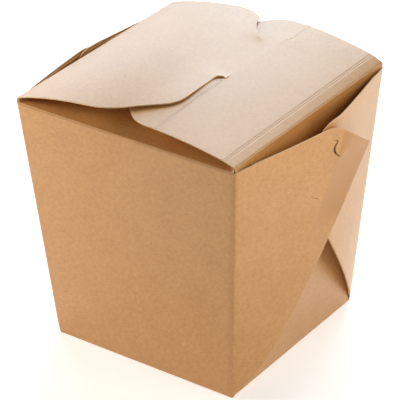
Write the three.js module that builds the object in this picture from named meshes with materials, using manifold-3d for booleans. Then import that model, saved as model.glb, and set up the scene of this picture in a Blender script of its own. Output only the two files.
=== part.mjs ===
// A noodle takeaway box, folded shut from one kraft board blank.
// Millimetres, +Z up. The front wall faces -Y, and the two lids hinge on the -X and +X walls.
// A shut box can't be seen into, so it is one solid: a tapered core with the folded board as relief.
import * as THREE from "three";
import { mergeVertices } from "three/addons/utils/BufferGeometryUtils.js";
import Module from "manifold-3d";

// Driving sizes of the box
const wallHeight = 100;
const baseSide = 80;
const topSide = 96;
const panelEdge = 1.0; // how thick a free edge of the folded board is in this solid
const recess = 6; // how far the filling stays behind a free edge
const rootDepth = 6; // how far a piece of relief reaches into the core
const lowestRelief = 1; // relief starts this far above the base

// The two lids, seen from above: x runs across the box, y from the front to the back
const lidHalfWidth = 47.5;
const lidHinge = 47.8;
const overLid = { hingeRise: 1.4, crown: 8.3, tilt: -1.15, fall: -0.85, fullness: 0.9 };
const underLid = { hingeRise: 1.8, crown: 7.4, tilt: 0.3, fall: -1.2, fullness: 0.8 };
const overLidShoulder = -8; // where the upper lid's corners are cut off
const overLidNose = 11; // where the upper lid's front edge ends
const overLidTongue = 13.5; // where its tongue goes down through the slit
const underLidShoulder = 5;
const underLidEnd = -12;
const underLidDip = 0.01; // how fast the lower lid bends down under the upper one
const boardStep = 0.5; // how far the upper lid lies above the lower one
const thinnestGap = 1.6; // a narrower space than this between two layers is filled
const lidCornerRadius = 7;
const creaseInset = 4.6; // a second crease runs beside the lower lid's hinge
const rimWidth = 3; // the side walls stand up to the lids' hinges

// The folded corner flaps that lie on the two side walls
const flapTip = [21.7, 85.3]; // where the flap's fold ends, in the wall's own plane
const flapShoulder = [-0.5, 102.8];
const flapShoulderRadius = 5;
const flapBend = 0.68; // the flap bends here, counted from the wall's corner to the fold
const flapSteepen = 0.37; // how much steeper it stands before that bend near the top
const wideOpen = { over: 11.8, overRun: 20, under: 11.5, underRun: 38, topEase: 0 };
const pressedShut = { over: 8, overRun: 22, under: 6.5, underRun: 40, topEase: 0.6 };

// The lock cut into the upper flap, and the slit in the lower lid
const lockHook = [[-0.5, 90], [-1.6, 93], [-3, 96.8]];
const lockArc = [[-8, 95.5], [-13, 91.5], [-15, 86], [-14.4, 81], [-11.5, 76.8], [-6.4, 73.9]];
const slitCut = [[12.8, -5.6], [14, -5.2], [14, 12], [14.4, 25], [16.2, 35.6]];
const cutWidth = 1.1;
const cutDepth = 0.7;

const slantHeight = Math.hypot(wallHeight, (topSide - baseSide) / 2);
const foldAngle = Math.PI / 4 - Math.atan((topSide - baseSide) / 2 / slantHeight);

const wasm = await Module();
wasm.setup();

// A closed three.js geometry as a solid that can be joined and cut
function toSolid(geometry) {
  const bare = geometry.index ? geometry.toNonIndexed() : geometry.clone();
  bare.deleteAttribute("normal");
  bare.deleteAttribute("uv");
  const merged = mergeVertices(bare, 1e-4);
  const vertProperties = new Float32Array(merged.attributes.position.array);
  const triVerts = new Uint32Array(merged.index.array);
  return new wasm.Manifold(new wasm.Mesh({ numProp: 3, vertProperties, triVerts }));
}

function toGeometry(solid) {
  const mesh = solid.getMesh();
  const geometry = new THREE.BufferGeometry();
  geometry.setAttribute("position", new THREE.BufferAttribute(mesh.vertProperties, 3));
  geometry.setIndex(new THREE.BufferAttribute(mesh.triVerts, 1));
  geometry.computeVertexNormals();
  return geometry;
}

// An outline from corners [x, y, radius], each one rounded by its radius
function outline(corners) {
  const shape = new THREE.Shape();
  corners.forEach(([x, y, radius = 0], i) => {
    const corner = new THREE.Vector2(x, y);
    const before = corners[(i + corners.length - 1) % corners.length];
    const after = corners[(i + 1) % corners.length];
    const towards = ([px, py]) => new THREE.Vector2(px, py).sub(corner).setLength(radius).add(corner);
    const start = radius ? towards(before) : corner;
    if (i) shape.lineTo(start.x, start.y);
    else shape.moveTo(start.x, start.y);
    if (!radius) return;
    const end = towards(after);
    shape.quadraticCurveTo(corner.x, corner.y, end.x, end.y);
  });
  return shape;
}

// The strip that a knife of some width cuts along a line of points
function cutLine(points, width) {
  const left = [];
  const right = [];
  points.forEach((point, i) => {
    const before = points[Math.max(i - 1, 0)];
    const after = points[Math.min(i + 1, points.length - 1)];
    const along = new THREE.Vector2(after[0] - before[0], after[1] - before[1]).setLength(width / 2);
    left.push([point[0] - along.y, point[1] + along.x]);
    right.unshift([point[0] + along.y, point[1] - along.x]);
  });
  return outline([...left, ...right]);
}

// Everything between two height functions that lies inside an outline
function layer(shape, upper, lower, steps = 14) {
  const box = new THREE.Box2().setFromPoints(shape.getPoints(6));
  const size = box.getSize(new THREE.Vector2()).addScalar(2);
  const centre = box.getCenter(new THREE.Vector2());
  const slab = new THREE.BoxGeometry(size.x, size.y, 1, steps, steps, 1);
  const position = slab.attributes.position;
  for (let i = 0; i < position.count; i++) {
    const x = position.getX(i) + centre.x;
    const y = position.getY(i) + centre.y;
    const height = position.getZ(i) > 0 ? upper(x, y) : lower(x, y);
    position.setXYZ(i, x, y, height);
  }
  const reach = 2 * wallHeight;
  const settings = { depth: 2 * reach, bevelEnabled: false, curveSegments: 5 };
  const column = new THREE.ExtrudeGeometry(shape, settings);
  column.translate(0, 0, -reach);
  return toSolid(slab).intersect(toSolid(column));
}

// A solid made in a flat frame, moved to where that frame stands on the box
function placed(solid, matrix) {
  const geometry = toGeometry(solid);
  geometry.applyMatrix4(matrix);
  return toSolid(geometry);
}

function makeCore() {
  const core = new THREE.CylinderGeometry(topSide / Math.SQRT2, baseSide / Math.SQRT2, wallHeight, 4);
  core.rotateY(Math.PI / 4);
  core.rotateX(Math.PI / 2);
  core.translate(0, 0, wallHeight / 2);
  return toSolid(core);
}

// Lids: each springs up from its hinge and is fullest near the middle of the box
function archRise(x, y, lid) {
  const flat = Math.max(1 - (x / lidHinge) ** 2, 0);
  const across = y / lidHalfWidth;
  const crown = lid.crown + lid.tilt * across + lid.fall * across ** 2;
  return lid.hingeRise + crown * flat ** lid.fullness;
}

function underLidRise(x, y) {
  const tucked = Math.max(underLidShoulder - x, 0);
  return archRise(x, y, underLid) - underLidDip * tucked ** 2;
}

function overLidRise(x, y) {
  return Math.max(archRise(x, y, overLid), underLidRise(x, y) + boardStep);
}

// The upper lid's outline, drawn with its edges pulled in by an inset
function overLidShape(inset) {
  const side = lidHalfWidth - inset;
  const nose = overLidNose - inset;
  const tongue = overLidTongue - inset;
  return outline([
    [-lidHinge, -side],
    [overLidShoulder - inset / 2, -side, lidCornerRadius],
    [nose, -29 + inset / 2, 3],
    [nose, -6],
    [tongue, -6],
    [tongue, 23 - inset / 2],
    [4 - inset, 29 - inset / 2, 2],
    [overLidShoulder - inset / 2, side, lidCornerRadius],
    [-lidHinge, side],
  ]);
}

function underLidShape(inset) {
  const side = lidHalfWidth - inset;
  const end = underLidEnd + inset;
  return outline([
    [lidHinge, side],
    [underLidShoulder + inset / 2, side, lidCornerRadius],
    [end, 31],
    [end, -31],
    [underLidShoulder + inset / 2, -side, lidCornerRadius],
    [lidHinge, -side],
  ]);
}

function makeLid(shapeOf, rise) {
  const top = (x, y) => wallHeight + rise(x, y);
  const middle = (x, y) => top(x, y) - panelEdge / 2;
  const bottom = (x, y) => {
    const lower = wallHeight + underLidRise(x, y);
    const space = top(x, y) - panelEdge - lower;
    return space > 0 && space < thinnestGap ? lower - panelEdge / 2 : top(x, y) - panelEdge;
  };
  const panel = layer(shapeOf(0), top, bottom, 18);
  const filling = layer(shapeOf(recess), middle, () => wallHeight - rootDepth, 12);
  return panel.add(filling);
}

// The top of a side wall, which carries the lid's hinge
function makeRim(side, lid) {
  const height = rootDepth + lid.hingeRise - panelEdge / 2;
  const rim = new THREE.BoxGeometry(rimWidth, 2 * lidHalfWidth, height);
  rim.translate(side * (lidHinge - rimWidth / 2), 0, wallHeight - rootDepth + height / 2);
  return toSolid(rim);
}

function makeLids() {
  const above = () => 2 * wallHeight;
  const slitFloor = (x, y) => wallHeight + underLidRise(x, y) - cutDepth;
  const creaseFloor = (x, y) => wallHeight + underLidRise(x, y) - cutDepth / 3;
  const slit = layer(cutLine(slitCut, cutWidth), above, slitFloor);
  const creaseX = lidHinge - creaseInset;
  const creaseLine = cutLine([[creaseX, -lidHalfWidth - 1], [creaseX, lidHalfWidth + 1]], cutWidth);
  const crease = layer(creaseLine, above, creaseFloor);
  const under = makeLid(underLidShape, underLidRise).subtract(crease);
  const rims = makeRim(1, underLid).add(makeRim(-1, overLid));
  return under.add(makeLid(overLidShape, overLidRise)).add(rims).subtract(slit);
}

// A corner flap in the plane of its side wall: u along the wall, v up it.
// It grows out of the wall's corner at -u, and its fold runs up from the base corner.
const baseCorner = new THREE.Vector2(-baseSide / 2, 0);
const cornerEdge = new THREE.Vector2(-topSide / 2, slantHeight).sub(baseCorner).normalize();
const cornerEdgeAt = (v) => baseCorner.x + (v * cornerEdge.x) / cornerEdge.y;

function flapStandOff(u, v, height, run, topEase) {
  const from = new THREE.Vector2(u, v).sub(baseCorner);
  const reach = Math.max(from.length(), 1e-6);
  const turn = -cornerEdge.cross(from) / reach / Math.sin(foldAngle);
  const eased = 1 - topEase * THREE.MathUtils.smoothstep(reach, 45, 105);
  const steep = 1 + flapSteepen * THREE.MathUtils.smoothstep(reach, 50, 100);
  const beyond = (turn - flapBend) / (1 - flapBend);
  const rise = turn < flapBend ? steep * turn : THREE.MathUtils.lerp(steep * flapBend, 1, beyond);
  return height * (1 - Math.exp(-reach / run)) * Math.max(rise, 0) * eased;
}

// The flap's outline, drawn with its free edges pulled in by an inset
function flapShape(inset, flip) {
  const start = Math.max(2 * inset, lowestRelief);
  const end = slantHeight - inset;
  const corners = [
    [cornerEdgeAt(start) + inset / 10, start],
    [flapTip[0] - 1.25 * inset, flapTip[1] - inset / 2],
    [flapShoulder[0] - inset / 2, flapShoulder[1] - 1.3 * inset, flapShoulderRadius],
    [cornerEdgeAt(end) + inset / 10, end],
  ];
  return outline(flip < 0 ? corners.map(([u, v, r]) => [-u, v, r]).reverse() : corners);
}

function makeFlap(standOff, flip) {
  const middle = (u, v) => standOff(u, v) - panelEdge / 2;
  const bottom = (u, v) => {
    const inner = standOff(u, v) - panelEdge;
    return inner < thinnestGap / 2 ? -panelEdge : inner;
  };
  const panel = layer(flapShape(0, flip), standOff, bottom);
  const filling = layer(flapShape(recess, flip), middle, () => -rootDepth, 10);
  return panel.add(filling);
}

// Both flaps of one side wall: the one from the front corner lies over the one from the back corner
function makeSide(outward, spread) {
  const over = (u, v) => flapStandOff(u, v, spread.over, spread.overRun, spread.topEase);
  const under = (u, v) => {
    const free = flapStandOff(-u, v, spread.under, spread.underRun, spread.topEase);
    const covered = u < flapTip[0] - 2 && v > slantHeight / 2 + 4 && v > -0.9 * u;
    return covered ? Math.min(free, Math.max(over(u, v) - 1.4 * panelEdge, 0)) : free;
  };
  const lock = layer(cutLine([...lockHook, ...lockArc], cutWidth), () => 40, (u, v) => over(u, v) - cutDepth);
  const flaps = makeFlap(under, -1).add(makeFlap(over, 1).subtract(lock));
  const along = new THREE.Vector3(0, 1, 0);
  const up = new THREE.Vector3((topSide - baseSide) / 2, 0, wallHeight).normalize();
  const out = new THREE.Vector3().crossVectors(along, up);
  const matrix = new THREE.Matrix4().makeBasis(along, up, out).setPosition(baseSide / 2, 0, 0);
  const side = placed(flaps, matrix);
  return outward > 0 ? side : mirrored(side);
}

// The same solid on the other side of the box, with its faces turned to point outward again
function mirrored(solid) {
  const geometry = toGeometry(solid);
  geometry.scale(-1, 1, 1);
  const corners = geometry.index.array;
  for (let i = 0; i < corners.length; i += 3) {
    [corners[i + 1], corners[i + 2]] = [corners[i + 2], corners[i + 1]];
  }
  return toSolid(geometry);
}

const whole = makeCore().add(makeLids()).add(makeSide(1, wideOpen)).add(makeSide(-1, pressedShut));

const kraftBoard = new THREE.MeshStandardMaterial({ color: 0xc99a68, roughness: 0.85, metalness: 0 });
const box = new THREE.Mesh(toGeometry(whole), kraftBoard);
box.name = "noodle_box";

const part = new THREE.Group();
part.add(box);
export default part;
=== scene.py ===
import math
import bmesh
import bpy
import numpy as np
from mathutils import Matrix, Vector
from mathutils.geometry import delaunay_2d_cdt


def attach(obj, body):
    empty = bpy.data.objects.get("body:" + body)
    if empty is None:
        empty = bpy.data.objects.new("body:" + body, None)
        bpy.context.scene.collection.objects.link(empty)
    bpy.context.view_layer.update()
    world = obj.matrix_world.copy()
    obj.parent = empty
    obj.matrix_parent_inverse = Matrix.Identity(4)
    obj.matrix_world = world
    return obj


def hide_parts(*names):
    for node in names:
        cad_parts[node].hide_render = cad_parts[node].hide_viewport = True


# A noodle takeaway box in kraft board. Each sheet is cut flat in millimetres, then folded by a formula.
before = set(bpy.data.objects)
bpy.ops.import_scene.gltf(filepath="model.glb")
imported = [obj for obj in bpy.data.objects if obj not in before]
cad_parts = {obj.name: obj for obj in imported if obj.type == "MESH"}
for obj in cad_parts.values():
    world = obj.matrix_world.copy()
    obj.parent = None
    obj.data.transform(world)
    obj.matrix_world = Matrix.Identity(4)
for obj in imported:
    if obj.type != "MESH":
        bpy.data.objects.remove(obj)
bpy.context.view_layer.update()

mm = 0.001
flatUnit = 100.0  # mm of board to one unit of the flat map
box = {
    "height": 100.0,
    "baseSide": 80.0,
    "topSide": 96.0,
    "board": 0.45,       # thickness of the board
    "cornerRadius": 0.8,  # how round the four corner edges are
    "foldRadius": 0.35,  # how round every other single fold is
    "turnRadius": 0.4,   # how tight the flaps are folded double
    "sharpFrom": 48,     # degrees, from here on an edge isn't shaded smooth
}
halfBase = box["baseSide"] / 2
halfTop = box["topSide"] / 2
flare = halfTop - halfBase
slant = math.hypot(box["height"], flare)


# Shapes of lines and heights

def ramp(t, radius):
    # how far past a fold a point is, with the fold itself rounded
    return (t + np.sqrt(t * t + radius * radius)) / 2


def smooth(t, low, high):
    s = np.clip((t - low) / (high - low), 0, 1)
    return s * s * (3 - 2 * s)


def softLeast(a, b, width):
    # the lesser of two heights, blended where they meet
    return (a + b - np.sqrt((a - b) ** 2 + width * width)) / 2


def roundedOutline(corners, step=1.0):
    # corners (x, y, radius) joined by straight edges, each corner turned by its radius
    points = []
    count = len(corners)
    for i, (x, y, radius) in enumerate(corners):
        corner = Vector((x, y))
        if not radius:
            points.append(corner)
            continue
        before = Vector(corners[i - 1][:2]) - corner
        after = Vector(corners[(i + 1) % count][:2]) - corner
        start = corner + before.normalized() * min(radius, before.length * 0.49)
        end = corner + after.normalized() * min(radius, after.length * 0.49)
        pieces = max(4, int(radius / 0.5))
        for k in range(pieces + 1):
            s = k / pieces
            points.append(start * (1 - s) ** 2 + corner * 2 * s * (1 - s) + end * s * s)
    return subdivided([(p.x, p.y) for p in points], step, closed=True)


def subdivided(points, step, closed=False):
    # the same line with no gap longer than a step
    result = []
    last = len(points) if closed else len(points) - 1
    for i in range(last):
        a = np.array(points[i], float)
        b = np.array(points[(i + 1) % len(points)], float)
        pieces = max(1, int(math.ceil(np.linalg.norm(b - a) / step)))
        result += [tuple(a + (b - a) * k / pieces) for k in range(pieces)]
    if not closed:
        result.append(tuple(points[-1]))
    return result


def slotOutline(line, width):
    # the narrow hole that a knife leaves along a line, pointed at both ends
    line = np.array(line, float)
    along = np.gradient(line, axis=0)
    along /= np.linalg.norm(along, axis=1, keepdims=True)
    across = np.stack([-along[:, 1], along[:, 0]], 1)
    width = np.asarray(width, float) * np.ones(len(line))
    reach = width[:, None] / 2
    left = (line + across * reach)[1:-1]
    right = (line - across * reach)[1:-1][::-1]
    return [tuple(line[0])] + [tuple(p) for p in left] + [tuple(line[-1])] + [tuple(p) for p in right]


def curveThrough(points, pieces=6):
    # a smooth line through a few points
    p = [np.array(q, float) for q in points]
    p = [2 * p[0] - p[1]] + p + [2 * p[-1] - p[-2]]
    result = []
    for i in range(1, len(p) - 2):
        for k in range(pieces):
            t = k / pieces
            a, b, c, d = p[i - 1], p[i], p[i + 1], p[i + 2]
            result.append(0.5 * (2 * b + (c - a) * t + (2 * a - 5 * b + 4 * c - d) * t ** 2
                                 + (3 * b - a - 3 * c + d) * t ** 3))
    result.append(p[-2])
    return [tuple(q) for q in result]


# Cutting a flat sheet into triangles

atATime = 200  # points compared with all others at a time, to spare memory


def insideOf(points, polygon):
    polygon = np.array(polygon)
    inside = np.zeros(len(points), bool)
    x, y = points[:, 0], points[:, 1]
    for (x0, y0), (x1, y1) in zip(polygon, np.roll(polygon, -1, axis=0)):
        crosses = (y0 > y) != (y1 > y)
        if y0 != y1:
            inside ^= crosses & (x < (x1 - x0) * (y - y0) / (y1 - y0) + x0)
    return inside


def clearOf(points, others, gap):
    keep = np.ones(len(points), bool)
    for start in range(0, len(others), atATime):
        part = others[start:start + atATime]
        near = ((points[:, None] - part[None]) ** 2).sum(-1).min(1)
        keep &= near > gap * gap
    return keep


def rowsBeside(line, offsets, step):
    # points in rows along a fold, close together across it
    line = np.array(line, float)
    a, b = line[0], line[-1]
    along = (b - a) / np.linalg.norm(b - a)
    across = np.array([-along[1], along[0]])
    count = max(2, int(np.linalg.norm(b - a) / step))
    spots = a + (b - a) * (np.arange(count) + 0.5)[:, None] / count
    return np.concatenate([spots + across * offset for offset in offsets])


cutting = {
    "grid": 3.0,          # between points where a sheet is flat
    "rowStep": 2.0,       # between points along a fold
    "foldRows": (-2.2, -1.4, -0.9, -0.55, -0.25, 0, 0.25, 0.55, 0.9, 1.4, 2.2),
    "creaseRows": (-1.4, -0.7, -0.35, -0.12, 0.12, 0.35, 0.7, 1.4),
    "crestRows": (-1.2, -0.5, 0, 0.5, 1.2),
    "edgeClear": 0.3,     # no inner point is nearer to the outline
    "holeClear": 0.45,    # or to a hole
    "shareGap": 0.012,    # points nearer than this become one
}


def cutSheet(outline, holes, folds, gentle=()):
    # folds get close rows of points, and gentle bends (line, rows) their own ones
    grid = cutting["grid"]
    rows = [rowsBeside(fold, cutting["foldRows"], cutting["rowStep"]) for fold in folds]
    rows += [rowsBeside(line, offsets, cutting["rowStep"]) for line, offsets in gentle]
    rows = np.concatenate(rows)
    low = np.min(outline, axis=0)
    high = np.max(outline, axis=0)
    xs = np.arange(low[0] + grid / 2, high[0], grid)
    ys = np.arange(low[1] + grid / 2, high[1], grid)
    lattice = np.stack(np.meshgrid(xs, ys), -1).reshape(-1, 2)
    lattice = lattice[clearOf(lattice, rows, grid * 0.55)]
    inner = np.concatenate([rows, lattice])
    inner = inner[insideOf(inner, outline)]
    inner = inner[clearOf(inner, np.array(outline), cutting["edgeClear"])]
    for hole in holes:
        inner = inner[~insideOf(inner, hole)]
        rim = np.array(subdivided(hole, 0.8, closed=True))
        inner = inner[clearOf(inner, rim, cutting["holeClear"])]
    rings = [list(outline)] + [list(hole) for hole in holes]
    points = [Vector(p) for ring in rings for p in ring] + [Vector(p) for p in inner]
    edges = []
    start = 0
    for ring in rings:
        edges += [(start + i, start + (i + 1) % len(ring)) for i in range(len(ring))]
        start += len(ring)
    verts, _, faces, _, _, _ = delaunay_2d_cdt(points, edges, [], 1, 1e-5)
    flat = np.array([tuple(v) for v in verts])
    middles = np.array([flat[list(face)].mean(0) for face in faces])
    cutOut = np.zeros(len(faces), bool)
    for hole in holes:
        cutOut |= insideOf(middles, hole)
    return flat, [tuple(face) for face, isGone in zip(faces, cutOut) if not isGone]


farAway = 99.0  # stands for a distance where nothing is near


def foldDistance(flat, folds):
    # distance from each flat point to the nearest fold line
    best = np.full(len(flat), farAway)
    for a, b in folds:
        a, b = np.array(a, float), np.array(b, float)
        s = np.clip(((flat - a) @ (b - a)) / ((b - a) @ (b - a)), 0, 1)
        best = np.minimum(best, np.linalg.norm(flat - (a + s[:, None] * (b - a)), axis=1))
    return best


def edgeDistance(flat, rings):
    # distance from each flat point to the nearest cut edge
    dense = np.array([p for ring in rings for p in subdivided(ring, 0.7, closed=True)])
    best = np.full(len(flat), farAway)
    for start in range(0, len(dense), atATime):
        part = dense[start:start + atATime]
        best = np.minimum(best, np.sqrt(((flat[:, None] - part[None]) ** 2).sum(-1)).min(1))
    return best


# What the board's wear and painted shade depend on from point to point, and what each is where nothing is
# near
wearAndShadeLabels = {
    "foldDistance": farAway,
    "scoreDistance": farAway,
    "edgeDistance": farAway,
    "cornerDistance": farAway,
    "pastCreaseShade": 0.0,
    "lineDistance": farAway,
}


class Sheet:
    # collects the folded halves of one sheet of board and makes one object of them
    def __init__(self, name):
        self.name = name
        self.places = []
        self.flats = []
        self.wearAndShade = {label: [] for label in wearAndShadeLabels}
        self.faces = []

    def add(self, flat, faces, places, wearAndShade, sign, flip=False):
        start = sum(len(p) for p in self.places)
        self.places.append(places)
        self.flats.append(flat * (sign, 1))
        for label, restValue in wearAndShadeLabels.items():
            self.wearAndShade[label].append(wearAndShade.get(label, np.full(len(flat), restValue)))
        for face in faces:
            corners = [start + i for i in face]
            self.faces.append(corners[::-1] if flip else corners)

    def build(self, materials):
        mesh = bpy.data.meshes.new(self.name)
        places = np.concatenate(self.places) * mm
        mesh.from_pydata([tuple(p) for p in places], [], self.faces)
        corners = np.zeros(len(mesh.loops), int)
        mesh.loops.foreach_get("vertex_index", corners)
        uv = mesh.uv_layers.new(name="flat")
        uv.data.foreach_set("uv", (np.concatenate(self.flats)[corners] / flatUnit).ravel())
        for label, halves in self.wearAndShade.items():
            layer = mesh.attributes.new(label, "FLOAT", "POINT")
            layer.data.foreach_set("value", np.concatenate(halves).astype(np.float32))
        work = bmesh.new()
        work.from_mesh(mesh)
        bmesh.ops.remove_doubles(work, verts=work.verts, dist=cutting["shareGap"] * mm)
        work.to_mesh(mesh)
        work.free()
        piece = bpy.data.objects.new(self.name, mesh)
        bpy.context.collection.objects.link(piece)
        for material in materials:
            mesh.materials.append(material)
        solid = piece.modifiers.new("board", "SOLIDIFY")
        solid.thickness = box["board"] * mm
        solid.offset = -1
        solid.use_even_offset = False
        solid.material_offset_rim = 1
        bpy.context.view_layer.update()
        graph = bpy.context.evaluated_depsgraph_get()
        finished = bpy.data.meshes.new_from_object(piece.evaluated_get(graph))
        piece.modifiers.clear()
        piece.data = finished
        finished.name = self.name
        for polygon in finished.polygons:
            polygon.use_smooth = True
        finished.set_sharp_from_angle(angle=math.radians(box["sharpFrom"]))
        return piece


# The corner of two walls, in the plane of a wall: along the wall, up its slant

edgeLength = math.hypot(slant, flare)
edgeUp = np.array([flare, slant]) / edgeLength      # along the corner edge, in the front wall's plane
edgeOut = np.array([slant, -flare]) / edgeLength    # across it, away from the front wall
foldAngle = math.pi / 4 - math.atan(flare / slant)
foldLine = np.array([math.sin(foldAngle), math.cos(foldAngle)])    # in (past the edge, up the edge)
foldAcross = np.array([math.cos(foldAngle), -math.sin(foldAngle)])

flap = {
    "tip": 105.3,                # length of the double fold, from the base corner
    "steepen": 0.37,             # it stands off more and more towards its top
    "steepenOver": (60, 108),
    "bendFrom": (-5.5, 73.0),    # a crease beside the lock, from here
    "bendTo": (0.0, 89.2),       # to here, in the side wall's plane from its middle
    "bendBack": 0.18,            # and beyond it the flap turns back to the wall
    "bendOver": (50, 80),        # heights where that begins
    "bendRadius": 0.12,
    "lobe": 3.0,                 # how far the crease steps aside above the lock's hook
    "lobeStart": (88.0, 88.7),
    "lobeEnd": (94, 99),
    "lobeRadius": 1.3,
    "layerGap": 0.12,
    "innerCut": 8.0,             # the hidden layer ends this far before the corner edge
    "innerLower": 1.0,           # and this much lower
    "innerLeast": 0.2,           # and stays this far off the side wall
    "underGap": 0.1,             # between the lower flap and the upper one
    "underSoft": 1.2,
}
# How far the two flaps of a side stand off it and how soon (run), and their rounded corner: along and up
# the side wall from its base corner, and how round it is. The shut side is flatter and closes at its top.
openSide = {
    "over": {"height": 11.8, "run": 20, "shoulder": (38.5, 101.8, 4.0)},
    "under": {"height": 11.5, "run": 38, "shoulder": (43.5, 103.6, 5.0)},
    "topEase": 0.0,
}
shutSide = {
    "over": {"height": 9.5, "run": 22, "shoulder": (43.0, 102.3, 9.0)},
    "under": {"height": 10.5, "run": 30, "shoulder": (47.0, 102.6, 6.0)},
    "topEase": 0.56,
    "easeOver": (45, 105),
    "arch": (0.62, 0.72, 1.1),   # its height, where it is highest, and how far past that it falls
}


def toSidePlane(d, e):
    # from (past the corner edge, up the corner edge) to (along, up) the side wall, from its base corner
    return d * slant / edgeLength - e * flare / edgeLength, d * flare / edgeLength + e * slant / edgeLength


def fromSidePlane(u, v):
    return u * slant / edgeLength + v * flare / edgeLength, -u * flare / edgeLength + v * slant / edgeLength


def standOff(d, e, side, layer, lobe):
    # how far a flap stands off its side wall
    shape = side[layer]
    reach = np.sqrt(d * d + e * e) + 1e-6
    turn = d / reach / math.sin(foldAngle)
    steep = 1 + flap["steepen"] * smooth(reach, *flap["steepenOver"])
    if side["topEase"]:
        top, highest, last = side["arch"]
        turn = top * np.sin(np.pi / 2 * np.minimum(turn / highest, last))
    rise = shape["height"] * (1 - np.exp(-reach / shape["run"])) * steep * np.maximum(turn, 0)
    # past the crease the flap turns back
    u, v = toSidePlane(d, e)
    u = u - halfBase
    low, high = np.array(flap["bendFrom"]), np.array(flap["bendTo"])
    along = (high - low) / np.linalg.norm(high - low)
    past = (u - high[0]) * along[1] - (v - high[1]) * along[0]
    aside = smooth(v, *flap["lobeStart"]) * (1 - smooth(v, *flap["lobeEnd"])) * lobe
    past = past - flap["lobe"] * aside
    radius = flap["bendRadius"] + flap["lobeRadius"] * aside
    share = shape["height"] / openSide["over"]["height"]
    bent = flap["bendBack"] * share * smooth(v, *flap["bendOver"]) * ramp(past, radius)
    if side["topEase"]:
        return (rise - bent) * (1 - side["topEase"] * smooth(reach, *side["easeOver"]))
    return rise - bent


def overStand(d, e, side):
    return standOff(d, e, side, "over", 1.0)


def underStand(d, e, side):
    # the lower flap stays under the upper one
    free = standOff(d, e, side, "under", 0.0)
    u, v = toSidePlane(d, e)
    dOver, eOver = fromSidePlane(box["baseSide"] - u, v)
    limit = overStand(dOver, eOver, side) - 2 * box["board"] - 2 * flap["layerGap"] - flap["underGap"]
    return np.maximum(softLeast(free, limit, flap["underSoft"]), 0)


dustFlap = {
    "depth": 31.0,
    "inset": 1.2,       # its ends stand this far inside the side walls
    "cornerCut": 9.0,
    "rise": 8.0,        # it rises inwards under the lids
    "riseFrom": 4.0,
    "clear": 0.35,      # and stays this far below them
    "clearFrom": 1.5,
}
bottomLap = 3.0  # how far a wall's bottom edge goes under the base
# Where one fold hands over to the next, in mm from where to where
handOver = {
    "pastCorner": (-0.5, 2.0),
    "upCorner": (-1, 2),
    "wallEnds": (-2.4, -0.9),
    "bottomEdge": (3, -1),
    "bottomLap": (6, 0),
    "lapCorner": (0, -4),
    "layersPart": (0, 1.5),
    "standStarts": (-1.5, 0),
}


def fromEdge(d, e):
    # from (past the corner edge, up the corner edge) to the flat sheet
    return halfBase + d * edgeOut[0] + e * edgeUp[0], d * edgeOut[1] + e * edgeUp[1]


def mirrored(d, e):
    # the place on the hidden layer that comes to lie behind this one
    along = d * foldLine[0] + e * foldLine[1]
    across = d * foldAcross[0] + e * foldAcross[1]
    return along * foldLine[0] - across * foldAcross[0], along * foldLine[1] - across * foldAcross[1]


def foldDouble(past, up):
    # what lies beyond the slanted fold turns back under the flap, and how far below it then is
    along = past * foldLine[0] + up * foldLine[1]
    across = past * foldAcross[0] + up * foldAcross[1]
    radius = box["turnRadius"]
    root = np.sqrt(across * across + radius * radius)
    isFlap = smooth(past, *handOver["pastCorner"]) * smooth(up, *handOver["upCorner"])
    turned = np.where(isFlap > 0, -root, across)
    across2 = across * (1 - isFlap) + turned * isFlap
    below = (box["board"] * 2 + flap["layerGap"]) * 0.5 * (1 + across / root)
    return along * foldLine[0] + across2 * foldAcross[0], along * foldLine[1] + across2 * foldAcross[1], below


# The same corner in space
baseCorner = np.array([halfBase, -halfBase, 0])
edge3 = np.array([flare, -flare, box["height"]]) / edgeLength
wallX = np.array([1, 0, 0])
wallUp = np.array([0, -flare, box["height"]]) / slant
sideY = np.array([0, 1, 0])
sideUp = np.array([flare, 0, box["height"]]) / slant
sideOut = np.cross(sideY, sideUp)
intoWall = -(edgeOut[0] * wallX + edgeOut[1] * wallUp)
intoSide = (slant * sideY + flare * sideUp) / edgeLength


def ceilingAt(x, y):
    # how high a dust flap may reach under whichever lid is over it
    lids = np.where(x > underLid["end"], underLidRise(x, y), overLidRise(x, y))
    return box["height"] + lids - box["board"] - dustFlap["clear"] - lowered(x, y)


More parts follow.
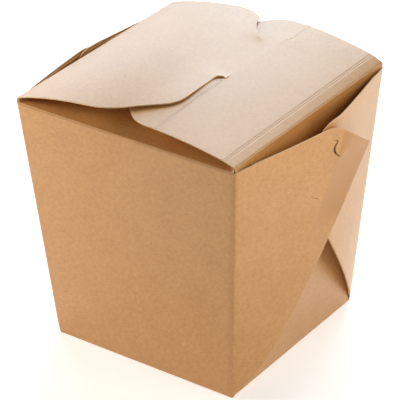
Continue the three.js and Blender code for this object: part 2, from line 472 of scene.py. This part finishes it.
def foldWall(flat, stand, sideways, front):
    # half of a wrap, from flat to folded: wall, dust flap and double flap
    x, y = flat[:, 0], flat[:, 1]
    past = (x - halfBase) * edgeOut[0] + y * edgeOut[1]
    up = (x - halfBase) * edgeUp[0] + y * edgeUp[1]
    pastFold, upFold, below = foldDouble(past, up)
    # the dust flap and the bottom edge belong to the wall alone
    onWall = 1 - smooth(past, *handOver["wallEnds"])
    radius = box["foldRadius"]
    overTop = y - slant
    lift = np.where(onWall > 0, (slant - ramp(-overTop, radius)) - y, 0) * onWall
    lift = lift + (ramp(y, radius) - y) * smooth(y, *handOver["bottomEdge"])
    inward = ramp(overTop, radius) * onWall
    inwardLow = ramp(-y, radius) * smooth(y, *handOver["bottomLap"])
    pastFold = pastFold + lift * edgeOut[1]
    upFold = upFold + lift * edgeUp[1]
    # round the corner edge, and off the side wall
    beyond = ramp(pastFold, box["cornerRadius"])
    before = ramp(-pastFold, box["cornerRadius"])
    place = baseCorner + upFold[:, None] * edge3 + before[:, None] * intoWall + beyond[:, None] * intoSide
    off = stand(beyond, upFold)
    least = np.minimum(off, flap["innerLeast"])
    layered = np.maximum(off - below * smooth(off, *handOver["layersPart"]), least)
    off = np.where(past > 0, layered, off * smooth(past, *handOver["standStarts"]))
    place = place + off[:, None] * sideOut
    # the dust flap goes in and up, as far as the lids let it
    place[:, 1] += inward + inwardLow * smooth(past, *handOver["lapCorner"])
    place[:, 2] += dustFlap["rise"] * smooth(inward, dustFlap["riseFrom"], dustFlap["depth"])
    ceiling = ceilingAt(place[:, 0] * sideways, place[:, 1] * front)
    place[:, 2] = np.where(inward > dustFlap["clearFrom"], np.minimum(place[:, 2], ceiling), place[:, 2])
    return place * (sideways, front, 1)


def wallOutline(shoulder):
    # one half of the flat sheet, from its middle line round to its middle line
    along, up, radius = shoulder
    cut, lower = flap["innerCut"], flap["innerLower"]
    sideX = halfTop - dustFlap["inset"]
    top = slant + dustFlap["depth"]
    chamfer = dustFlap["cornerCut"]
    return roundedOutline([
        (0, -bottomLap, 0),
        (halfBase - bottomLap, -bottomLap, 0),
        (halfBase, 0, 0),
        # the hidden layer
        (*fromEdge(*mirrored(cut, cut / math.tan(foldAngle) + 1.0)), 0),
        (*fromEdge(*mirrored(cut, edgeLength + cut * 0.06 - lower)), 0),
        (*fromEdge(*mirrored(*fromSidePlane(along - 0.4, up - lower))), radius),
        # the flap's tip and its rounded corner
        (*fromEdge(*(foldLine * flap["tip"])), 0),
        (*fromEdge(*fromSidePlane(along, up)), radius),
        (*fromEdge(0.2, edgeLength), 0),
        (*fromEdge(-0.9, edgeLength - 0.6), 0),
        # the dust flap
        (sideX, slant + 0.6, 0.5),
        (sideX - 1.5, top - chamfer, 3),
        (sideX - 1.5 - chamfer, top, 3),
        (0, top, 0),
    ])


def wallFolds():
    # corner edge, double fold, top edge and bottom edge of half a wrap
    tip = np.array([halfBase, 0]) + flap["tip"] * (foldLine[0] * edgeOut + foldLine[1] * edgeUp)
    return [
        ((halfBase, 0), (halfTop, slant)),
        ((halfBase, 0), tuple(tip)),
        ((0, slant), (halfTop - 1, slant)),
        ((0, 0), (halfBase, 0)),
    ]


# The D-shaped lock cut into the flap that lies on top, in the side wall's plane from its middle
lock = {
    "hook": [(-3.6, 96.5), (-2.0, 96.5), (-0.5, 95.3), (-1.6, 93.7),
             (-1.8, 92.2), (-0.7, 90.2), (1.5, 88.5), (4.8, 88.2)],
    "hookWidth": [0, 0.3, 0.8, 1.2, 1.2, 0.75, 0.3, 0],
    "arc": [(-14.6, 87.0), (-14.0, 82.8), (-13.0, 79.4), (-11.3, 76.6), (-9.0, 75.0), (-6.9, 74.3)],
    "arcWidth": [0, 0.06, 0.06, 0.07, 0.28, 0],
    "window": (3.2, 6.4),   # opening in the layers behind the hook, so that its gap is deep
    "windowAt": (-0.9, 92.3),
}
wallLine = {"below": 0.8, "start": 4, "end": 1}   # a fine dark line just below the top fold
creasePast = (18, 14)    # the crease's rows of points go on this far below and above it
pastCreaseShadeAlong = (4, 16)     # where along the crease the strip past it takes its painted shade


def onFlat(place):
    # from the side wall's plane, counted from its middle, to the flat sheet
    return fromEdge(*fromSidePlane(place[0] + halfBase, place[1]))


def behindFold(spot):
    # where a point of the outer layer comes to lie on the hidden layer of the flat sheet
    place = np.array(spot) - (halfBase, 0)
    line = foldLine[0] * edgeOut + foldLine[1] * edgeUp
    return tuple(2 * (place @ line) * line - place + (halfBase, 0))


def window(sideways):
    # an oval opening round the hook, on either layer
    (width, height), (u, v) = lock["window"], lock["windowAt"]
    turns = [2 * math.pi * k / 16 for k in range(16)]
    return [onFlat((sideways * u + width / 2 * math.cos(t), v + height / 2 * math.sin(t))) for t in turns]


def lockHoles():
    holes = []
    for line, width in ((lock["hook"], lock["hookWidth"]), (lock["arc"], lock["arcWidth"])):
        dense = curveThrough(line, 4)
        spread = np.interp(np.linspace(0, len(line) - 1, len(dense)), range(len(line)), width)
        holes.append(slotOutline([onFlat(spot) for spot in dense], spread))
    return holes


def creaseOnFlat():
    low, high = np.array(flap["bendFrom"]), np.array(flap["bendTo"])
    step = (high - low) / np.linalg.norm(high - low)
    return [onFlat(low - step * creasePast[0]), onFlat(high + step * creasePast[1])]


def wrapWearAndShade(flat, outline, holes, folds, crease, paintsPastCreaseShade):
    corner = folds[0]
    along = np.subtract(crease[1], crease[0]) / np.linalg.norm(np.subtract(crease[1], crease[0]))
    across = np.array([along[1], -along[0]])
    fromCrease = flat - crease[0]
    # the strip past the crease, which gets painted shade
    turned = smooth(fromCrease @ across, -0.1, 0.2) * smooth(fromCrease @ along, *pastCreaseShadeAlong)
    lineY = slant - wallLine["below"]
    line = ((wallLine["start"], lineY), (halfTop - wallLine["end"], lineY))
    return {
        "foldDistance": foldDistance(flat, folds),
        "scoreDistance": foldDistance(flat, folds[2:]),
        "edgeDistance": edgeDistance(flat, [outline] + holes),
        # only on the wall's side of the corner edge
        "cornerDistance": np.where((flat - corner[0]) @ edgeOut < 0, foldDistance(flat, [corner]), farAway),
        "pastCreaseShade": turned * paintsPastCreaseShade,
        "lineDistance": foldDistance(flat, [line]),
    }


def addHalfWrap(sheet, isFront, side, sign):
    layer, stand = ("over", overStand) if isFront else ("under", underStand)
    outline = wallOutline(side[layer]["shoulder"])
    folds = wallFolds()
    crease = creaseOnFlat()
    holes = []
    if side is openSide:
        # the lock, and openings round it in the three layers behind
        holes = lockHoles() if isFront else [window(-1)]
        holes.append([behindFold(spot) for spot in window(1 if isFront else -1)])
    flat, faces = cutSheet(outline, holes, folds, gentle=[(crease, cutting["creaseRows"])])
    places = foldWall(flat, lambda d, e: stand(d, e, side), sign, 1 if isFront else -1)
    wearAndShade = wrapWearAndShade(flat, outline, holes, folds, crease, isFront and side is openSide)
    sheet.add(flat, faces, places, wearAndShade, sign, flip=(sign < 0) == isFront)


def makeWrap(name, isFront, materials):
    # one plain wall with its dust flap and a double flap round each corner
    sheet = Sheet(name)
    addHalfWrap(sheet, isFront, openSide, 1)
    addHalfWrap(sheet, isFront, shutSide, -1)
    return sheet.build(materials)


# The strip that runs through both side walls, the base and both lids

strip = {
    "inset": 0.3,          # side walls stand this far inside the corner edges
    "sideGap": 0.7,        # and this far short of the front and back walls
    "lidHalf": 47.5,       # half the depth of a lid
    "hinge": 47.8,         # from the middle out to a lid's hinge
    "wallOver": (30, 60),  # heights between which a side wall is fitted to both its ends
    "lidFrom": (-6, 0),    # a lid's shape begins this far before its hinge
}
# Rises are in mm over the walls' height. A value in threes is at the front edge, middle and back edge.
underLid = {
    "hingeRise": 1.8,
    "crease": 42.9,            # a bent line beside the hinge
    "creaseRise": (3.3, 3.6, 3.9),
    "creaseSoft": 0.9,
    "crest": 14.0,             # and one where the slit is
    "crestRise": (7.2, 8.8, 8.3),
    "crestSoft": 1.4,
    "crestAside": 2.3,         # it steps aside behind the slit
    "asideOver": (24, 35),
    "crestScores": (-7, 36),   # before and behind these it is scored
    "innerSlope": 0.035,       # slope past the crest
    "innerBends": [(6.0, -0.06, 5), (-4.0, -0.25, 4)],   # where it changes, the new slope, how softly
    "bulge": 0.45,
    "end": -12,
    "endHalf": 31,
    "shoulder": 5,             # where its slanted ends begin
    "shoulderRadius": 5.5,
    "slit": [(13.3, -6.2), (14.0, -5.9), (14.4, -5.2), (14.35, -3), (14.32, 0), (14.3, 12),
             (14.35, 20), (14.7, 26), (15.5, 32), (16.3, 34.8), (17.0, 35.4)],
    "slitWidth": ([-6.2, -5.4, 21, 23, 31, 34.6, 35.4], [0, 0.1, 0.1, 0.02, 0.05, 0.3, 0]),
    "pressed": 0.57,           # how far it lies lower before the slit, under the other lid
    "pressedAcross": (10, 0.4),
    "pressedStart": (-11, -3),
    "pressedEnd": (22, 31),
    "sooner": 9,               # close to the slit that ends sooner
    "soonerAcross": (6, 1),
}
overLid = {
    "hingeRise": 1.4,
    "crown": 8.3,
    "tilt": 0.1,
    "fall": -1.1,              # its crown is lower at both edges
    "fullness": 0.9,
    "gap": 0.08,               # over the lower lid
    "gapSoft": 0.5,
    "dip": 0.35,               # it dips towards its nose
    "dipAcross": (-4, 11),
    "dipStart": (-27, -9),
    "dipEnd": (20, 30),
    "levelAcross": (-3, 13.5),   # beside the slit it lies level with the lower lid
    "levelStart": (-6.0, -1.0),
    "levelEnd": (23.5, 28),
    "levelGap": 0.02,
    "nose": 11.0,
    "tongue": 14.4,            # this far it goes into the slit
}


def threeWay(y, values):
    # a value given at the front edge, the middle and the back edge of a lid
    t = y / strip["lidHalf"]
    front, middle, back = values
    return middle + t * (back - front) / 2 + t * t * ((back + front) / 2 - middle)


def underLidRise(x, y):
    creaseRise = threeWay(y, underLid["creaseRise"])
    crestRise = threeWay(y, underLid["crestRise"])
    crest = underLid["crest"] + underLid["crestAside"] * smooth(y, *underLid["asideOver"])
    hinge, crease = strip["hinge"], underLid["crease"]
    slope = (creaseRise - underLid["hingeRise"]) / (hinge - crease)
    height = underLid["hingeRise"] + slope * (hinge - x)
    bends = [(crease, (crestRise - creaseRise) / (crease - crest), underLid["creaseSoft"]),
             (crest, underLid["innerSlope"], underLid["crestSoft"])] + underLid["innerBends"]
    for place, newSlope, soft in bends:
        height = height + (newSlope - slope) * ramp(place - x, soft)
        slope = newSlope
    between = np.clip((crease - x) * (x - crest), 0, None)
    return height + underLid["bulge"] * between / ((crease - crest) / 2) ** 2


def lowered(x, y):
    # the lower lid is pressed down before the slit
    spots = underLid["slit"]
    slit = np.interp(y, [p[1] for p in spots], [p[0] for p in spots])
    far, near = underLid["pressedAcross"]
    depth = np.where(x < slit, underLid["pressed"] * smooth(x, slit - far, slit - near), 0)
    far, near = underLid["soonerAcross"]
    end = y + underLid["sooner"] * smooth(x, slit - far, slit - near)
    return depth * smooth(y, *underLid["pressedStart"]) * (1 - smooth(end, *underLid["pressedEnd"]))


def overLidRise(x, y):
    flat = np.clip(1 - (x / strip["hinge"]) ** 2, 0, 1)
    t = y / strip["lidHalf"]
    crown = overLid["crown"] + overLid["tilt"] * t + overLid["fall"] * t * t
    arch = overLid["hingeRise"] + crown * flat ** overLid["fullness"]
    rest = underLidRise(x, y) + box["board"] + overLid["gap"]
    # the greater of the two, blended
    arch = -softLeast(-arch, -rest, overLid["gapSoft"])
    dip = overLid["dip"] * smooth(x, *overLid["dipAcross"]) * smooth(y, *overLid["dipStart"])
    arch = arch - dip * (1 - smooth(y, *overLid["dipEnd"]))
    level = smooth(y, *overLid["levelStart"]) * (1 - smooth(y, *overLid["levelEnd"]))
    level = level * smooth(x, *overLid["levelAcross"])
    return arch * (1 - level) + (underLidRise(x, y) + overLid["levelGap"]) * level


def wallRun(hingeRise):
    # how far it is from the base's edge up to the hinge
    return math.hypot(strip["hinge"] - (halfBase - strip["inset"]), box["height"] + hingeRise)


def foldStrip(flat, rise, hingeRise):
    # half of the strip, from flat to folded: s runs from the middle of the base out, up and over
    s, y = flat[:, 0], flat[:, 1]
    low = halfBase - strip["inset"]
    hinge = strip["hinge"]
    hingeZ = box["height"] + hingeRise
    run = wallRun(hingeRise)
    upX, upZ = (hinge - low) / run, hingeZ / run
    radius = box["foldRadius"]
    # round the base's edge
    atBase = s - halfBase
    lowX = low - ramp(-atBase, radius) + ramp(atBase, radius) * upX
    lowZ = ramp(atBase, radius) * upZ
    # round the hinge
    atHinge = s - halfBase - run
    lidX = hinge - ramp(-atHinge, radius) * upX - ramp(atHinge, radius)
    lidZ = hingeZ - ramp(-atHinge, radius) * upZ
    shape = rise(hinge - ramp(atHinge, radius), y) - rise(np.full_like(y, hinge), y)
    lidZ = lidZ + shape * smooth(atHinge, *strip["lidFrom"])
    start, end = strip["wallOver"]
    wall = smooth(s, halfBase + start, halfBase + end)
    return np.stack([lowX * (1 - wall) + lidX * wall, y, lowZ * (1 - wall) + lidZ * wall], 1)


def stripOutline(hingeAt, lidCorners):
    gap = strip["sideGap"]
    half = [
        (0, -(halfBase - bottomLap), 0),
        (halfBase - 2.2, -(halfBase - bottomLap), 0),
        (halfBase + 0.2, -(halfBase - gap), 0),
        (hingeAt - 3, -(halfTop - gap - 0.1), 0),
        (hingeAt, -strip["lidHalf"], 0),
    ]
    far = [(s, -y, radius) for s, y, radius in half[::-1]]
    lid = [(hingeAt + strip["hinge"] - x, y, radius) for x, y, radius in lidCorners]
    return roundedOutline(half + lid + far)


def stripWearAndShade(flat, outline, holes, folds, scores):
    return {
        "foldDistance": foldDistance(flat, folds),
        "scoreDistance": foldDistance(flat, scores),
        "edgeDistance": edgeDistance(flat, [outline] + holes),
    }


def stripFolds(hingeAt):
    half = strip["lidHalf"]
    return [((halfBase, -halfBase), (halfBase, halfBase)), ((hingeAt, -half), (hingeAt, half))]


def addUnderLid(sheet):
    # the right half, with the lower lid
    half = strip["lidHalf"]
    shoulder, end, endHalf = underLid["shoulder"], underLid["end"], underLid["endHalf"]
    corners = [(shoulder, -half, underLid["shoulderRadius"]), (end, -endHalf, 3),
               (end, endHalf, 3), (shoulder, half, underLid["shoulderRadius"])]
    hingeAt = halfBase + wallRun(underLid["hingeRise"])
    outline = stripOutline(hingeAt, corners)
    creaseAt = hingeAt + strip["hinge"] - underLid["crease"]
    crestAt = hingeAt + strip["hinge"] - underLid["crest"]
    asideAt = crestAt - underLid["crestAside"]
    ends = underLid["crestScores"]
    folds = stripFolds(hingeAt) + [((creaseAt, -half), (creaseAt, half))]
    crests = [((crestAt, -half), (crestAt, ends[0])), ((asideAt, ends[1]), (asideAt, half))]
    slit = curveThrough(underLid["slit"], 4)
    widths = np.interp([p[1] for p in slit], *underLid["slitWidth"])
    hole = slotOutline([(hingeAt + strip["hinge"] - x, y) for x, y in slit], widths)
    flat, faces = cutSheet(outline, [hole], folds, gentle=[(line, cutting["crestRows"]) for line in crests])
    places = foldStrip(flat, lambda x, y: underLidRise(x, y) - lowered(x, y), underLid["hingeRise"])
    wearAndShade = stripWearAndShade(flat, outline, [hole], folds, folds + crests)
    sheet.add(flat, faces, places, wearAndShade, 1, flip=True)


def addOverLid(sheet):
    # the left half, with the upper lid, worked out as if on the right and then mirrored
    half = strip["lidHalf"]
    nose, tongue = -overLid["nose"], -overLid["tongue"]
    corners = [(8, -half, 8), (nose - 0.5, -30.4, 6), (nose, -6.4, 0.8), (nose - 1.1, -5.0, 0.9),
               (nose - 2.6, -5.0, 0.6), (tongue - 0.05, -5.6, 0.3), (tongue, 22.5, 1.5), (-9.8, 25.2, 1.5),
               (-4.4, 29.5, 3), (1.0, 36.5, 4), (3.2, 42.8, 1.2), (12.0, half, 5)]
    hingeAt = halfBase + wallRun(overLid["hingeRise"])
    outline = stripOutline(hingeAt, corners)
    folds = stripFolds(hingeAt)
    flat, faces = cutSheet(outline, [], folds)
    places = foldStrip(flat, lambda x, y: overLidRise(-x, y), overLid["hingeRise"]) * (-1, 1, 1)
    sheet.add(flat, faces, places, stripWearAndShade(flat, outline, [], folds, folds), -1)


def makeStrip(name, materials):
    sheet = Sheet(name)
    addUnderLid(sheet)
    addOverLid(sheet)
    return sheet.build(materials)


# Materials

class Link:
    # wraps a node's socket, so that shader maths reads as plain sums
    def __init__(self, graph, socket):
        self.graph = graph
        self.socket = socket

    def maths(self, operation, first, second):
        return self.graph.node("ShaderNodeMath", {"operation": operation}, [first, second])

    def __add__(self, other):
        return self.maths("ADD", self, other)

    def __radd__(self, other):
        return self.maths("ADD", other, self)

    def __sub__(self, other):
        return self.maths("SUBTRACT", self, other)

    def __rsub__(self, other):
        return self.maths("SUBTRACT", other, self)

    def __mul__(self, other):
        return self.maths("MULTIPLY", self, other)

    def __rmul__(self, other):
        return self.maths("MULTIPLY", other, self)


class Graph:
    def __init__(self, name):
        self.material = bpy.data.materials.new(name)
        self.material.use_nodes = True
        self.tree = self.material.node_tree
        self.tree.nodes.clear()

    def node(self, kind, settings=None, inputs=(), output=0):
        made = self.tree.nodes.new(kind)
        for key, value in (settings or {}).items():
            setattr(made, key, value)
        pairs = inputs.items() if isinstance(inputs, dict) else enumerate(inputs)
        for key, value in pairs:
            socket = made.inputs[key]
            if isinstance(value, Link):
                self.tree.links.new(value.socket, socket)
            else:
                socket.default_value = value
        return Link(self, made.outputs[output])

    def between(self, value, low, high):
        inputs = {"Value": value, "From Min": low, "From Max": high}
        return self.node("ShaderNodeMapRange", {"interpolation_type": "SMOOTHSTEP"}, inputs)

    def mixed(self, amount, first, second):
        # the colour sockets of this node go by their places
        return self.node("ShaderNodeMix", {"data_type": "RGBA"}, {0: amount, 6: first, 7: second}, 2)

    def noise(self, where, scale, detail=2.0, rough=0.5):
        inputs = {"Vector": where, "Scale": scale, "Detail": detail, "Roughness": rough}
        return self.node("ShaderNodeTexNoise", {}, inputs)

    def marks(self, where, look):
        # small round marks, in those cells that a channel of their random colour picks out
        inputs = {"Vector": where, "Scale": look["scale"], "Randomness": 1.0}
        distance = self.node("ShaderNodeTexVoronoi", {"feature": "F1"}, inputs)
        cell = self.node("ShaderNodeTexVoronoi", {"feature": "F1"}, inputs, 1)
        lot = self.node("ShaderNodeSeparateColor", {}, [cell], look["channel"])
        return self.between(distance, *look["size"]) * self.between(lot, *look["chosen"])

    def markAt(self, label):
        return self.node("ShaderNodeAttribute", {"attribute_name": label}, (), 2)

    def finish(self, shader):
        out = self.tree.nodes.new("ShaderNodeOutputMaterial")
        self.tree.links.new(shader.socket, out.inputs["Surface"])
        return self.material


kraft = {
    "colour": (0.610, 0.289, 0.080, 1),
    "pale": (0.690, 0.362, 0.122, 1),
    "deep": (0.500, 0.208, 0.046, 1),
    "turned": (0.505, 0.208, 0.034, 1),   # painted shade on the strip of a flap past its crease
    "fleck": (0.200, 0.090, 0.035, 1),
    "edge": (0.780, 0.560, 0.340, 1),     # where the board is cut
    "roughness": 0.42,
    "edgeRoughness": 0.9,
    "shine": 0.65,
    "bloom": 0.2,                         # soft light at flat angles
    "bloomRoughness": 0.4,
    "fibreLength": 1.6,                   # mm
    "fibreWidth": 0.16,
    "fibreTurns": (8, 52, 97, 141),       # degrees
    "cloudy": 0.6,                        # how much each pattern lightens and darkens the board
    "mottled": 0.9,
    "fibrous": 3.2,
    "grainy": 1.8,
    "toneReach": 0.55,                    # where the palest and deepest colour are reached
    "specks": {"scale": 55.0, "size": (0.16, 0.05), "channel": 1, "chosen": (0.72, 0.8), "depth": 0.35},
    "flecks": {"scale": 14.0, "size": (0.050, 0.018), "channel": 0, "chosen": (0.45, 0.55), "depth": 0.6},
    "rubbedFold": 0.35,                   # how strongly each kind of wear and painted shade shows
    "wornEdge": 0.4,
    "scoreShade": 0.65,
    "cornerShade": 0.28,
    "wallLine": 0.35,
    "pastCreaseShade": 0.8,
    "scoreRelief": 0.55,
    "reliefHeight": 0.00014,              # metres
}


def fibreStrands(g, place):
    # long thin noise in several directions
    scale = (flatUnit / kraft["fibreLength"], flatUnit / kraft["fibreWidth"], 1)
    fibres = None
    for turn in kraft["fibreTurns"]:
        inputs = {"Vector": place, "Rotation": (0, 0, math.radians(turn)), "Scale": scale}
        strand = g.noise(g.node("ShaderNodeMapping", {}, inputs), 1.0, 1.0, 0.5)
        fibres = strand if fibres is None else fibres + strand
    return fibres * (1 / len(kraft["fibreTurns"]))


def wornAndShadedColour(g, colour, mottle, fibres, groove):
    # folds and edges rubbed pale; painted shade darkens the score grooves and the band beside a corner edge
    rubbed = g.between(g.markAt("foldDistance"), 1.1, 0.1) * g.between(mottle + fibres * 0.5, 0.55, 0.95)
    colour = g.mixed(rubbed * kraft["rubbedFold"], colour, kraft["pale"])
    edge = g.between(g.markAt("edgeDistance"), 0.7, 0.0) * g.between(mottle, 0.35, 0.6)
    colour = g.mixed(edge * kraft["wornEdge"], colour, kraft["pale"])
    # painted shade in the score grooves beside the folds
    colour = g.mixed(groove * kraft["scoreShade"], colour, kraft["deep"])
    # painted shade in a band on the wall beside a corner edge
    cornerAt = g.markAt("cornerDistance")
    pressed = g.between(cornerAt, 2.8, 2.0) * g.between(cornerAt, 0.0, 0.4)
    colour = g.mixed(pressed * kraft["cornerShade"], colour, kraft["deep"])
    line = g.between(g.markAt("lineDistance"), 0.45, 0.1)
    colour = g.mixed(line * kraft["wallLine"], colour, kraft["fleck"])
    # painted shade deepens the strip past the flap's crease
    return g.mixed(g.markAt("pastCreaseShade") * kraft["pastCreaseShade"], colour, kraft["turned"])


def kraftBoard():
    g = Graph("kraft board")
    # a scale of 100 on the flat map counts millimetres
    place = g.node("ShaderNodeUVMap", {"uv_map": "flat"})
    cloud = g.noise(place, 9.0, 3.0, 0.55)
    mottle = g.noise(place, 60.0, 2.0, 0.5)
    fibres = fibreStrands(g, place)
    grain = g.noise(place, 420.0, 2.0, 0.6)
    tone = ((cloud - 0.5) * kraft["cloudy"] + (mottle - 0.5) * kraft["mottled"]
            + (fibres - 0.5) * kraft["fibrous"] + (grain - 0.5) * kraft["grainy"])
    colour = g.mixed(g.between(tone, 0.0, kraft["toneReach"]), kraft["colour"], kraft["pale"])
    colour = g.mixed(g.between(tone, 0.0, -kraft["toneReach"]), colour, kraft["deep"])
    for look in (kraft["specks"], kraft["flecks"]):
        colour = g.mixed(g.marks(place, look) * look["depth"], colour, kraft["fleck"])
    # score grooves beside the folds: pressed in by the bump, and darkened with painted shade
    scoreAt = g.markAt("scoreDistance")
    groove = g.between(scoreAt, 0.8, 0.4) * g.between(scoreAt, 0.1, 0.35)
    colour = wornAndShadedColour(g, colour, mottle, fibres, groove)
    relief = fibres * 0.3 + grain * 0.12 - groove * kraft["scoreRelief"]
    bump = {"Strength": 0.8, "Distance": kraft["reliefHeight"], "Height": relief}
    return g.finish(g.node("ShaderNodeBsdfPrincipled", {}, {
        "Base Color": colour,
        "Roughness": kraft["roughness"] + (fibres - 0.5) * 0.3 + (mottle - 0.5) * 0.1,
        "Normal": g.node("ShaderNodeBump", {}, bump),
        "Specular IOR Level": kraft["shine"],
        "Sheen Weight": kraft["bloom"],
        "Sheen Roughness": kraft["bloomRoughness"],
    }))


def cutBoard():
    # the cut edge of the board, where its layers show
    g = Graph("cut board edge")
    place = g.node("ShaderNodeTexCoord", {}, (), 3)
    tooth = g.noise(place, 2600.0, 2.0, 0.6)
    drift = g.noise(place, 160.0, 2.0, 0.5)
    colour = g.mixed(g.between(tooth, 0.2, 0.6), kraft["colour"], kraft["edge"])
    colour = g.mixed(g.between(drift, 0.45, 0.75) * 0.5, colour, kraft["pale"])
    bump = g.node("ShaderNodeBump", {}, {"Strength": 0.4, "Distance": 0.0001, "Height": tooth})
    inputs = {"Base Color": colour, "Roughness": kraft["edgeRoughness"], "Normal": bump}
    return g.finish(g.node("ShaderNodeBsdfPrincipled", {}, inputs))


floorLook = {
    "dark": (0.80, 0.80, 0.80, 1),
    "light": (0.83, 0.83, 0.83, 1),
    "glow": 0.5,       # lifts the box's shadow
    "half": 6.0,       # metres
}


def paleFloor():
    g = Graph("pale floor")
    shade = g.noise(g.node("ShaderNodeTexCoord", {}, (), 3), 3.0, 2.0, 0.5)
    return g.finish(g.node("ShaderNodeBsdfPrincipled", {}, {
        "Base Color": g.mixed(shade, floorLook["dark"], floorLook["light"]),
        "Roughness": 0.9,
        "Specular IOR Level": 0.1,
        "Emission Color": (1, 1, 1, 1),
        "Emission Strength": floorLook["glow"],
    }))


# The view: fitted to the corners of the box in the photograph
view = {
    "azimuth": 35.771,
    "elevation": 30.030,
    "roll": -1.0641,
    "distance": 909.37,
    "aim": (-1.148, -0.827, 51.358),
    "focal": 2441.84,   # in pixels of the 400 pixel wide picture
    "frame": 400,
}


def makeCamera():
    azimuth, elevation, roll = (math.radians(view[k]) for k in ("azimuth", "elevation", "roll"))
    back = Vector((math.sin(azimuth) * math.cos(elevation),
                   -math.cos(azimuth) * math.cos(elevation), math.sin(elevation)))
    level = Vector((math.cos(azimuth), math.sin(azimuth), 0))
    upright = back.cross(level)
    right = level * math.cos(roll) + upright * math.sin(roll)
    up = upright * math.cos(roll) - level * math.sin(roll)
    data = bpy.data.cameras.new("camera")
    data.sensor_width = 36
    data.lens = view["focal"] * data.sensor_width / view["frame"]
    data.clip_end = 20
    camera = bpy.data.objects.new("camera", data)
    matrix = camera.matrix_world.copy()
    for row in range(3):
        matrix[row][0], matrix[row][1], matrix[row][2] = right[row], up[row], back[row]
    spot = (Vector(view["aim"]) + back * view["distance"]) * mm
    matrix.translation = spot
    camera.matrix_world = matrix
    bpy.context.collection.objects.link(camera)
    bpy.context.scene.camera = camera


lights = {
    "sky": 0.02,
    "skyColour": (1.0, 1.0, 1.0),
    "aim": (0, 0, 0.05),
    "panels": [
        # name, where it stands and how large it is (metres), power, colour
        ("backLeft", (-0.44, 0.44, 0.26), (0.5, 0.3), 1.86, (0.84, 1.06, 1.25)),
        ("backTop", (-0.16, 0.44, 0.47), (0.32, 0.26), 2.31, (0.86, 1.01, 1.11)),
        ("backRight", (0.05, 0.62, 0.14), (0.34, 0.24), 2.60, (0.95, 1.0, 0.94)),
        ("right", (0.21, -0.04, 0.185), (0.12, 0.12), 0.235, (1.0, 0.95, 0.83)),
        ("left", (-0.21, -0.17, 0.19), (0.14, 0.14), 0.53, (1.0, 0.92, 0.78)),
    ],
}


def makeLights():
    world = bpy.data.worlds.new("studio")
    bpy.context.scene.world = world
    world.use_nodes = True
    sky = world.node_tree.nodes["Background"]
    sky.inputs["Color"].default_value = (*lights["skyColour"], 1)
    sky.inputs["Strength"].default_value = lights["sky"]
    for name, place, size, power, colour in lights["panels"]:
        data = bpy.data.lights.new(name, "AREA")
        data.shape = "RECTANGLE"
        data.size, data.size_y = size
        data.energy = power
        data.color = colour
        lamp = bpy.data.objects.new(name, data)
        lamp.location = place
        aim = Vector(lights["aim"]) - Vector(place)
        lamp.rotation_euler = aim.to_track_quat("-Z", "Y").to_euler()
        bpy.context.collection.objects.link(lamp)


def makeFloor():
    half = floorLook["half"]
    corners = [(-half, -half, 0), (half, -half, 0), (half, half, 0), (-half, half, 0)]
    mesh = bpy.data.meshes.new("floor")
    mesh.from_pydata(corners, [], [(0, 1, 2, 3)])
    floor = bpy.data.objects.new("floor", mesh)
    bpy.context.collection.objects.link(floor)
    mesh.materials.append(paleFloor())


bpy.context.scene.view_settings.view_transform = "Standard"
makeCamera()
makeLights()
makeFloor()
print("view, lights and floor are set")

board = kraftBoard()
boardEdge = cutBoard()
pieces = [
    makeWrap("front_wrap", True, [board, boardEdge]),
    makeWrap("back_wrap", False, [board, boardEdge]),
    makeStrip("lids_and_base", [board, boardEdge]),
]
print("folded", len(pieces), "sheets,", sum(len(p.data.polygons) for p in pieces), "faces")

for piece in pieces:
    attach(piece, "root")
    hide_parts("noodle_box")
